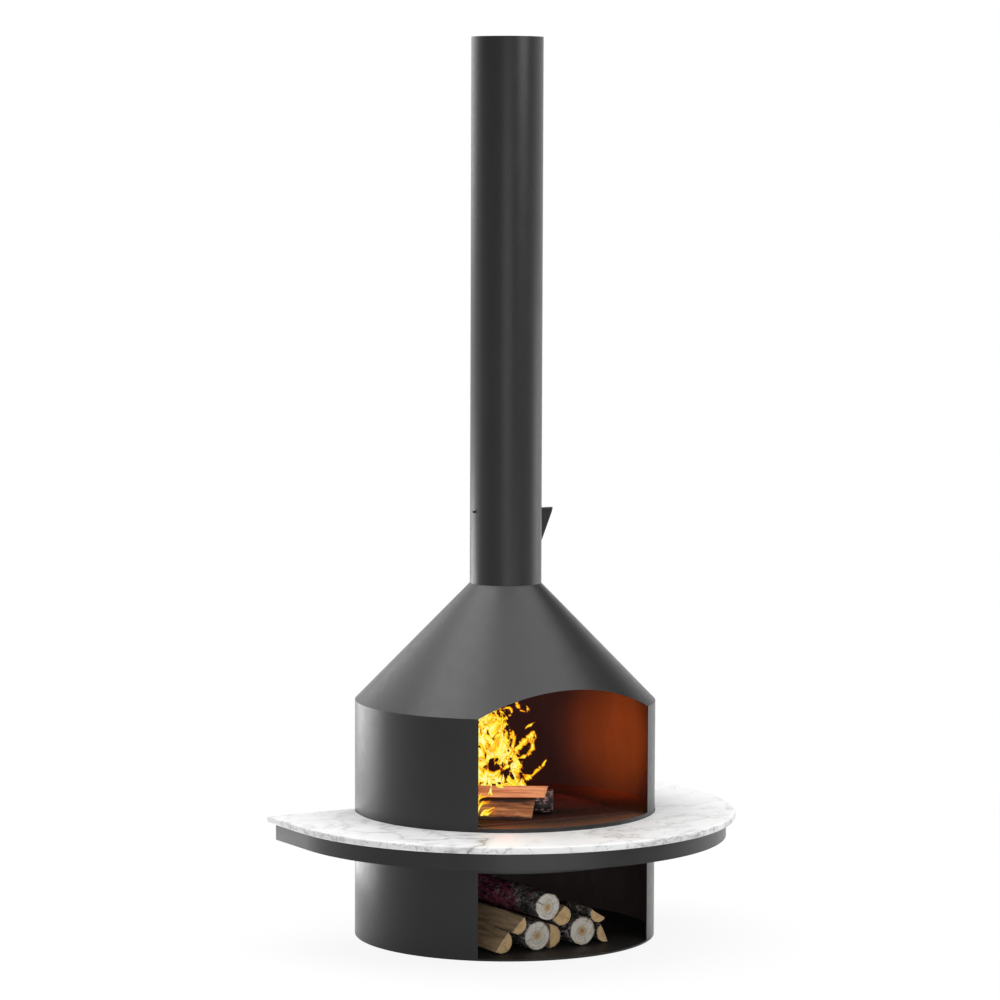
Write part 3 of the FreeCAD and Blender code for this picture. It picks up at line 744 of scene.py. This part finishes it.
# Licks and loose flakes: half width at the root, heat, and points along the logs and above their top
LICKS = (
    (0.0125, 1.0, ((0.120, 0.030), (0.091, 0.036), (0.063, 0.044), (0.040, 0.058), (0.022, 0.075))),
    (0.0120, 1.0, ((0.116, 0.116), (0.087, 0.129), (0.066, 0.147), (0.050, 0.163), (0.041, 0.171))),
    (0.0085, 0.95, ((0.041, 0.160), (0.042, 0.140), (0.047, 0.120), (0.062, 0.106), (0.086, 0.101))),
    (0.0070, 0.9, ((0.132, 0.205), (0.114, 0.212), (0.101, 0.226), (0.108, 0.240), (0.124, 0.236))),
    (0.0062, 0.9, ((0.087, 0.252), (0.080, 0.238), (0.068, 0.230), (0.056, 0.233), (0.060, 0.244))),
    (0.0042, 0.75, ((0.063, 0.187), (0.051, 0.191), (0.039, 0.200))),
    (0.0036, 0.75, ((0.015, 0.080), (0.008, 0.094), (0.004, 0.110))),
    (0.0032, 0.75, ((0.087, 0.211), (0.082, 0.216), (0.078, 0.220))),
)
# Dark hollows in the fire: place along the logs, height, radius and depth
HOLLOWS = ((0.152, 0.074, 0.022, 1.1), (0.120, 0.064, 0.016, 0.9))
LICK_TIP = 0.35
LICK_STEPS = 28
NO_LICK = -2.0
# Width and height of the fire's lumps, strands and wisps, and their shares in its mass and in its licks
BODY_SIZE = (0.040, 0.065)
STRAND_SIZE = (0.030, 0.075)
WISP_SIZE = (0.013, 0.030)
STRAND_SHARPNESS = 2.8
BODY_MASS, STRAND_MASS, WISP_MASS, FILL_MASS, MASS_LEVEL = 0.32, 0.55, 0.40, 0.95, 0.76
ROOM_LICK, BODY_LICK, WISP_LICK, LICK_LEVEL = 0.40, 0.32, 0.26, 0.14
# The turns of the air: how far they carry the fire, their width and height, and the lattices they use
CURLS = ((0.030, 0.060, 0.090, 0, 1), (0.010, 0.022, 0.036, 1, 0), (0.0035, 0.009, 0.016, 0, 1))
FLAME_SHEETS = (
    # seed, place across the logs, foot against the logs' top, envelope, licks
    (11, 0.040, -0.008, ENVELOPE, ()),
    (25, 0.008, -0.005, ENVELOPE, LICKS),
    (7, -0.046, -0.05, LOW_ENVELOPE, ()),
)
# The room in the hood above the fire: heights of its foot and top, and its radius at both
HOOD_FOOT = 0.660
HOOD_TOP = 0.987
HOOD_FOOT_R = 0.417
HOOD_TOP_R = 0.098
HOOD_CLEARANCE = 0.012
HOOD_FADE = 0.03
GRATE_LIFT = next(joint["range_m"][1] for joint in frame["joints"] if joint["name"] == "grate_lift")


def gradient_noise(x, y, turns):
    """Smooth noise about nought on a lattice of directions."""
    column = np.floor(x).astype(int)
    row = np.floor(y).astype(int)
    u = x - column
    v = y - row

    def corner(across, up):
        turn = turns[(column + across) % LATTICE, (row + up) % LATTICE]
        return np.cos(turn) * (u - across) + np.sin(turn) * (v - up)

    ease_u = u ** 3 * (u * (6 * u - 15) + 10)
    ease_v = v ** 3 * (v * (6 * v - 15) + 10)
    low = corner(0, 0) * (1 - ease_u) + corner(1, 0) * ease_u
    high = corner(0, 1) * (1 - ease_u) + corner(1, 1) * ease_u
    return NOISE_GAIN * (low * (1 - ease_v) + high * ease_v)


def turbulence(x, y, turns, octaves):
    """Noise with finer and weaker noise on top of it."""
    total = 0
    for octave in range(octaves):
        scale = 2 ** octave
        total = total + gradient_noise(x * scale + OCTAVE_SHIFT * octave, y * scale, turns) / scale
    return total


def smooth_path(points, count):
    """A Catmull-Rom curve through the points."""
    points = np.array(points)
    padded = np.vstack([2 * points[0] - points[1], points, 2 * points[-1] - points[-2]])
    path = []
    for place in np.linspace(0, len(points) - 1, count):
        i = min(int(place), len(points) - 2)
        t = place - i
        a, b, c, d = padded[i:i + 4]
        square = (2 * a - 5 * b + 4 * c - d) * t ** 2
        cube = (3 * b - a - 3 * c + d) * t ** 3
        path.append(0.5 * (2 * b + (c - a) * t + square + cube))
    return np.array(path)


def lick_room(along, up, licks):
    """A lick's heat in its middle, nought at its sides and less beyond; licks taper to their tips."""
    room = np.full(along.shape, NO_LICK)
    for half, heat, points in licks:
        path = smooth_path(points, LICK_STEPS)
        widths = half * np.linspace(1.0, LICK_TIP, LICK_STEPS)
        for (x, y), width in zip(path, widths):
            room = np.maximum(room, heat * (1 - np.hypot(along - x, up - y) / width))
    return room


def flame_heat(along, up, seed, envelope, licks):
    """How hot the fire is at a place along the logs and above them; below nought there is none."""
    turns = np.random.RandomState(seed).rand(5, LATTICE, LATTICE) * 2 * np.pi
    height = np.interp(along, *zip(*envelope))
    fill = np.clip((height - up) / FILL_SLOPE, *FILL_RANGE)
    for x, y, radius, depth in HOLLOWS:
        fill = fill - depth * np.exp(-((along - x) ** 2 + (up - y) ** 2) / radius ** 2)
    room = lick_room(along, up, licks)
    for curl, wide, tall, first, second in CURLS:
        drift = turbulence(along / wide, up / tall, turns[first], 2)
        lift = turbulence(along / wide + LIFT_SHIFT, up / tall, turns[second], 2)
        along = along + curl * drift
        up = up + curl * lift
    body = turbulence(along / BODY_SIZE[0], up / BODY_SIZE[1], turns[2], 3)
    strands = turbulence(along / STRAND_SIZE[0], up / STRAND_SIZE[1], turns[3], 2)
    wisps = turbulence(along / WISP_SIZE[0], up / WISP_SIZE[1], turns[4], 2)
    strands = 1 - STRAND_SHARPNESS * np.abs(strands)
    wisps = 1 - STRAND_SHARPNESS * np.abs(wisps)
    mass = BODY_MASS * body + STRAND_MASS * strands + WISP_MASS * wisps + FILL_MASS * fill - MASS_LEVEL
    lick = ROOM_LICK * room + BODY_LICK * body + WISP_LICK * wisps - LICK_LEVEL
    return np.maximum(mass, lick)


def hood_room(along, up, depth):
    """How far inside the hood a place in the fire stays while the grate is lifted."""
    axis, across, origin, _, _ = log_frame("fire_log_top")
    x = origin.x + axis.x * along + across.x * depth
    y = origin.y + axis.y * along + across.y * depth
    share = np.clip((FLAME_FOOT + up + GRATE_LIFT - HOOD_FOOT) / (HOOD_TOP - HOOD_FOOT), 0, 1)
    return HOOD_FOOT_R + (HOOD_TOP_R - HOOD_FOOT_R) * share - np.hypot(x, y)


def add_skins(parts, along, up, depth, half, heat, kept):
    """Two skins over a grid, which share their points where the heat ends."""
    verts, faces, heats = parts
    axis, across, origin, _, _ = log_frame("fire_log_top")
    number = {}

    def corner(i, j, skin):
        key = (i, j, skin if heat[i, j] > 0 else 0)
        if key not in number:
            number[key] = len(verts)
            spot = origin + axis * float(along[i, j]) + across * float(depth[i, j] + key[2] * half[i, j])
            spot.z = FLAME_FOOT + float(up[i, j])
            verts.append(spot)
            heats.append(float(heat[i, j]))
        return number[key]

    for i, j in zip(*np.nonzero(kept)):
        loop = ((i, j), (i + 1, j), (i + 1, j + 1), (i, j + 1))
        faces.append([corner(*at, 1) for at in loop])
        faces.append([corner(*at, -1) for at in reversed(loop)])


def flame_sheet(parts, seed, place, foot, envelope, licks):
    """One sheet of fire, with its rim drawn to where the heat ends."""
    reach = max(height for _, height in envelope) + FLAME_MARGIN
    columns = np.arange(FLAME_START, FLAME_LENGTH, FLAME_STEP)
    rows = np.arange(foot, reach, FLAME_STEP)
    along, up = np.meshgrid(columns, rows, indexing="ij")
    turns = np.random.RandomState(seed + SWAY_SEED).rand(LATTICE, LATTICE) * 2 * np.pi
    depth = place + SHEET_SWAY * turbulence(along / SHEET_WAVES[0], up / SHEET_WAVES[1], turns, 2)
    heat = flame_heat(along, up, seed, envelope, licks)
    heat = np.minimum(heat, (hood_room(along, up, depth) - HOOD_CLEARANCE) / HOOD_FADE)
    for rim in (heat[0], heat[-1], heat[:, 0], heat[:, -1]):
        np.minimum(rim, RIM_HEAT, out=rim)
    slope_along, slope_up = np.gradient(heat, FLAME_STEP)
    steep = slope_along ** 2 + slope_up ** 2 + LEAST_SLOPE
    pull = np.where(heat < 0, -heat / steep, 0)
    limit = FLAME_STEP / np.maximum(np.abs(pull) * np.sqrt(steep), FLAME_STEP)
    along = along + pull * slope_along * limit
    up = up + pull * slope_up * limit
    heat = np.maximum(heat, 0)
    half = FLAME_THICKNESS * np.minimum(1, heat / FULL_HEAT) ** THICKNESS_POWER
    around = np.stack([heat[:-1, :-1], heat[1:, :-1], heat[1:, 1:], heat[:-1, 1:]])
    kept = (around.min(0) > 0) | (around.sum(0) > LEAST_HEAT)
    add_skins(parts, along, up, depth, half, heat, kept)


def make_flames():
    verts, faces, heats = parts = [], [], []
    for sheet in FLAME_SHEETS:
        flame_sheet(parts, *sheet)
    mesh = bpy.data.meshes.new("flames")
    mesh.from_pydata([tuple(v) for v in verts], [], faces)
    mesh.polygons.foreach_set("use_smooth", [True] * len(faces))
    mesh.attributes.new("fire_heat", "FLOAT", "POINT").data.foreach_set("value", heats)
    mesh.materials.append(FLAME)
    flames = bpy.data.objects.new("flames", mesh)
    scene.collection.objects.link(flames)
    flames.visible_shadow = False
    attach(flames, "grate")


# Stage, lamps and world
HORIZON_LEVEL = 0.95
WORLD_LEVEL = 0.20
DARK_LEVEL = 0.12
FRONT_FLOOR_LEVEL = 0.58
FLOOR_SIZE = 120.0
FLOOR_DROP = 0.5 * MM
FLOOR_GREY = (0.86, 0.86, 0.86, 1)
# How white the floor is, by its distance from the object as a share of the span
FLOOR_SPAN = 6.0
FLOOR_WHITENESS = ((0.12, 0.90), (0.5, 1.0))
# Where the white backdrop ends: by the climb of a ray, and between the front and the back
BACKDROP_CLIMB = ((0.10, 1.0), (0.42, 0.0))
WORLD_SIDES = (0.45, 0.65)
FLOOR_SIDES = (0.25, 0.60)
WHITE = (1.0, 1.0, 1.0)
LAMPS = (
    # name, right of the object, towards the camera, height, width, tall, watts
    ("left_lamp", -2.9, -2.1, 0.44, 2.6, 0.86, 26.5),
    ("low_left_lamp", -0.87, -0.40, 0.13, 0.70, 0.22, 1.3),
    ("upper_left_lamp", -3.3, -3.2, 3.3, 4.0, 3.2, 52.0),
    ("right_front_lamp", 2.8, 2.2, 3.4, 2.0, 2.0, 52.0),
    ("right_lamp", 3.2, -1.4, 0.8, 2.0, 1.5, 11.0),
    ("front_lamp", 0.15, 5.0, 1.7, 2.4, 1.8, 17.0),
    ("low_front_lamp", 0.8, 2.4, 0.27, 2.2, 0.5, 6.5),
)
CEILING_LAMPS = (
    ("ceiling_lamp", -0.05, -0.4, 4.6, 6.4, 5.6, 230.0),
    ("ceiling_left_lamp", -2.0, -0.5, 4.5, 2.4, 3.2, 36.0),
)
AIM_HEIGHT = 0.9
GLOW_FROM = Vector((-0.10, -0.17, 0.53))
GLOW_TO = Vector((0.413, 0.050, 0.520))
GLOW_COLOUR = (1.0, 0.168, 0.012)
GLOW_WATTS = 58.0
GLOW_ANGLE = math.radians(44)
FILL_FROM = Vector((-0.12, -0.20, 0.50))
FILL_TO = Vector((0.28, 0.28, 0.53))
FILL_COLOUR = (1.0, 0.17, 0.17)
FILL_WATTS = 7.5
FILL_ANGLE = math.radians(125)
EMBER_FROM = Vector((-0.185, -0.325, 0.395))
EMBER_WATTS = 0.05
SPOT_SOFTNESS = 0.06
EMBER_SOFTNESS = 0.02


def background_rays(tree):
    """1 for rays from the camera, and 1 for rays that show the background in a mirror or through glass."""
    path = tree.nodes.new("ShaderNodeLightPath")
    mirrored = add_math(tree, "MAXIMUM", path.outputs["Is Glossy Ray"], path.outputs["Is Transmission Ray"])
    return path.outputs["Is Camera Ray"], mirrored


def behind_share(tree, direction, start, end):
    """1 behind the object, where the backdrop is white, and nought in front of it."""
    behind = add_vector_math(tree, "DOT_PRODUCT", direction, tuple(-VIEW_BACK))
    return add_ramp(tree, add_math(tree, "MULTIPLY_ADD", behind, 0.5, 0.5), ((start, 0.0), (end, 1.0)))


def add_world():
    world = bpy.data.worlds.new("world")
    scene.world = world
    world.use_nodes = True
    tree = world.node_tree
    background = tree.nodes["Background"]
    background.inputs["Color"].default_value = (1, 1, 1, 1)
    straight, mirrored = background_rays(tree)
    ray = tree.nodes.new("ShaderNodeTexCoord").outputs["Generated"]
    climb = tree.nodes.new("ShaderNodeSeparateXYZ")
    wire(tree, climb.inputs[0], ray)
    low = add_ramp(tree, climb.outputs["Z"], BACKDROP_CLIMB)
    backdrop = add_math(tree, "MULTIPLY", low, behind_share(tree, ray, *WORLD_SIDES))
    backdrop = add_math(tree, "MULTIPLY_ADD", backdrop, 1 - DARK_LEVEL, DARK_LEVEL)
    spread = add_math(tree, "MULTIPLY_ADD", low, HORIZON_LEVEL - WORLD_LEVEL, WORLD_LEVEL)
    level = add_mix(tree, mirrored, spread, backdrop)
    level = add_mix(tree, straight, level, WHITE)
    wire(tree, background.inputs["Strength"], level)


def add_floor():
    mesh = bpy.data.meshes.new("floor")
    half = FLOOR_SIZE / 2
    corners = [(-half, -half, 0), (half, -half, 0), (half, half, 0), (-half, half, 0)]
    mesh.from_pydata(corners, [], [(0, 1, 2, 3)])
    floor = bpy.data.objects.new("floor", mesh)
    scene.collection.objects.link(floor)
    floor.location.z = -FLOOR_DROP
    material = bpy.data.materials.new("floor")
    material.use_nodes = True
    tree = material.node_tree
    tree.nodes.clear()
    shade = tree.nodes.new("ShaderNodeBsdfDiffuse")
    shade.inputs["Color"].default_value = FLOOR_GREY
    bright = tree.nodes.new("ShaderNodeEmission")
    blend = tree.nodes.new("ShaderNodeMixShader")
    place = tree.nodes.new("ShaderNodeTexCoord").outputs["Object"]
    away = add_vector_math(tree, "LENGTH", place)
    white = add_ramp(tree, add_math(tree, "DIVIDE", away, FLOOR_SPAN), FLOOR_WHITENESS)
    straight, mirrored = background_rays(tree)
    seen = add_math(tree, "MAXIMUM", straight, mirrored)
    wire(tree, blend.inputs[0], add_math(tree, "MULTIPLY", seen, white))
    wire(tree, blend.inputs[1], shade.outputs[0])
    wire(tree, blend.inputs[2], bright.outputs[0])
    behind = behind_share(tree, add_vector_math(tree, "NORMALIZE", place), *FLOOR_SIDES)
    level = add_math(tree, "MULTIPLY_ADD", behind, 1 - FRONT_FLOOR_LEVEL, FRONT_FLOOR_LEVEL)
    level = add_mix(tree, straight, level, WHITE)
    wire(tree, bright.inputs["Strength"], level)
    output = tree.nodes.new("ShaderNodeOutputMaterial")
    wire(tree, output.inputs["Surface"], blend.outputs[0])
    mesh.materials.append(material)


def add_panel(name, right, near, height, wide, tall, watts):
    data = bpy.data.lights.new(name, "AREA")
    data.shape = "RECTANGLE"
    data.size = wide
    data.size_y = tall
    data.energy = watts
    lamp = bpy.data.objects.new(name, data)
    scene.collection.objects.link(lamp)
    lamp.location = VIEW_RIGHT * right + VIEW_BACK * near + UP * height
    return lamp


def add_spot(name, place, target, colour, watts, angle):
    data = bpy.data.lights.new(name, "SPOT")
    data.color = colour
    data.energy = watts
    data.spot_size = angle
    data.spot_blend = 1.0
    data.shadow_soft_size = SPOT_SOFTNESS
    lamp = bpy.data.objects.new(name, data)
    scene.collection.objects.link(lamp)
    lamp.location = place
    lamp.rotation_euler = (target - place).to_track_quat("-Z", "Y").to_euler()


def add_lamps():
    for row in LAMPS:
        lamp = add_panel(*row)
        aim = UP * AIM_HEIGHT - lamp.location
        lamp.rotation_euler = aim.to_track_quat("-Z", "Y").to_euler()
    for row in CEILING_LAMPS:
        add_panel(*row).rotation_euler.z = -OBJECT_TURN
    add_spot("fire_glow", GLOW_FROM, GLOW_TO, GLOW_COLOUR, GLOW_WATTS, GLOW_ANGLE)
    add_spot("fire_fill", FILL_FROM, FILL_TO, FILL_COLOUR, FILL_WATTS, FILL_ANGLE)
    data = bpy.data.lights.new("embers", "POINT")
    data.color = GLOW_COLOUR
    data.energy = EMBER_WATTS
    data.shadow_soft_size = EMBER_SOFTNESS
    embers = bpy.data.objects.new("embers", data)
    scene.collection.objects.link(embers)
    embers.location = EMBER_FROM


add_camera()
add_world()
add_floor()
add_lamps()
dress_frame()
make_logs()
make_flames()
